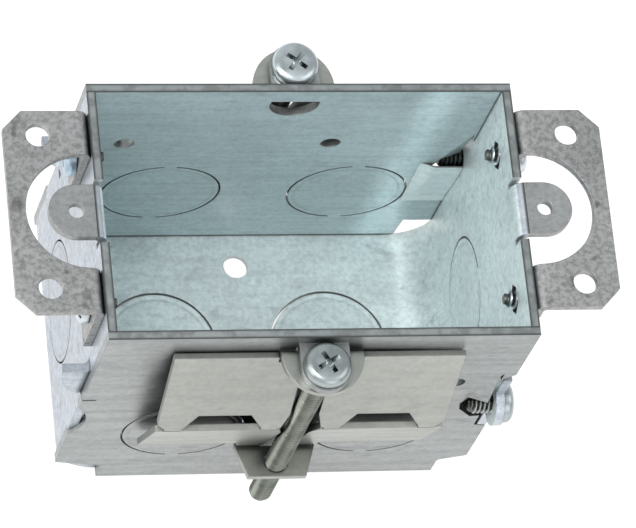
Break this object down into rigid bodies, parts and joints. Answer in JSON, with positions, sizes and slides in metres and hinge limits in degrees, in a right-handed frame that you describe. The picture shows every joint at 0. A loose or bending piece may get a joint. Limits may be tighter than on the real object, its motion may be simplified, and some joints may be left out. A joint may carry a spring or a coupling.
{
  "type": "switch box",
  "caption": "Open steel box for a wall switch, with plaster ears, pry-outs, removable sides and a screw-drawn clamp strap on each long side.",
  "frame": {"origin": "bottom centre, on the outer face of the back", "axes": "+X along the box's length, +Y across it, +Z out of the opening"},
  "size_m": [0.1068, 0.066, 0.0635],
  "materials": {
    "galvanised_sheet": "galvanised",
    "ear_sheet": "galvanised",
    "strap_sheet": "galvanised",
    "zinc_screw": "bright zinc"
  },
  "bodies": {
    "root": {"box_body": "galvanised_sheet", "near_side_plate": "galvanised_sheet", "far_side_plate": "galvanised_sheet", "near_strap_lug": "strap_sheet", "far_strap_lug": "strap_sheet", "left_ear_screw_near": "zinc_screw", "left_ear_screw_far": "zinc_screw", "right_ear_screw_near": "zinc_screw", "right_ear_screw_far": "zinc_screw", "near_gang_screw": "zinc_screw", "far_gang_screw": "zinc_screw"},
    "left_ear": {"left_ear": "ear_sheet"},
    "right_ear": {"right_ear": "ear_sheet"},
    "near_clamp_screw": {"near_clamp_screw": "zinc_screw"},
    "near_upper_panel": {"near_strap_upper_panel": "strap_sheet"},
    "near_lower_panel": {"near_strap_lower_panel": "strap_sheet"},
    "near_nut_lug": {"near_strap_nut_lug": "strap_sheet"},
    "far_clamp_screw": {"far_clamp_screw": "zinc_screw"},
    "far_upper_panel": {"far_strap_upper_panel": "strap_sheet"},
    "far_lower_panel": {"far_strap_lower_panel": "strap_sheet"},
    "far_nut_lug": {"far_strap_nut_lug": "strap_sheet"}
  },
  "joints": [
    {"name": "left_ear_slide", "type": "slide", "parent": "root", "child": "left_ear", "axis": [0, 0, 1], "range_m": [-0.0025, 0.0025]},
    {"name": "right_ear_slide", "type": "slide", "parent": "root", "child": "right_ear", "axis": [0, 0, 1], "range_m": [-0.0025, 0.0025]},
    {"name": "near_upper_fold", "type": "hinge", "parent": "root", "child": "near_upper_panel", "pos_m": [0, -0.0256, 0.05815], "axis": [-1, 0, 0], "range_deg": [0, 36]},
    {"name": "near_middle_fold", "type": "hinge", "parent": "near_upper_panel", "child": "near_lower_panel", "pos_m": [0, -0.0294, 0.03765], "axis": [-1, 0, 0], "range_deg": [-72, 0]},
    {"name": "near_nut_fold", "type": "hinge", "parent": "near_lower_panel", "child": "near_nut_lug", "pos_m": [0, -0.0256, 0.01715], "axis": [-1, 0, 0], "range_deg": [0, 36]},
    {"name": "near_clamp_screw_turn", "type": "hinge", "parent": "root", "child": "near_clamp_screw", "pos_m": [0, -0.0286, 0.03], "axis": [0, 0, -1], "range_deg": [0, 5578]},
    {"name": "far_upper_fold", "type": "hinge", "parent": "root", "child": "far_upper_panel", "pos_m": [0, 0.0256, 0.05815], "axis": [1, 0, 0], "range_deg": [0, 36]},
    {"name": "far_middle_fold", "type": "hinge", "parent": "far_upper_panel", "child": "far_lower_panel", "pos_m": [0, 0.0294, 0.03765], "axis": [1, 0, 0], "range_deg": [-72, 0]},
    {"name": "far_nut_fold", "type": "hinge", "parent": "far_lower_panel", "child": "far_nut_lug", "pos_m": [0, 0.0256, 0.01715], "axis": [1, 0, 0], "range_deg": [0, 36]},
    {"name": "far_clamp_screw_turn", "type": "hinge", "parent": "root", "child": "far_clamp_screw", "pos_m": [0, 0.0286, 0.03], "axis": [0, 0, -1], "range_deg": [0, 5578]}
  ],
  "couplings": [
    {"joint": "near_middle_fold", "follows": "near_upper_fold", "ratio": -2},
    {"joint": "near_nut_fold", "follows": "near_upper_fold", "ratio": 1},
    {"joint": "near_clamp_screw_turn", "follows": "near_upper_fold", "ratio": 154.94},
    {"joint": "far_middle_fold", "follows": "far_upper_fold", "ratio": -2},
    {"joint": "far_nut_fold", "follows": "far_upper_fold", "ratio": 1},
    {"joint": "far_clamp_screw_turn", "follows": "far_upper_fold", "ratio": 154.94}
  ]
}
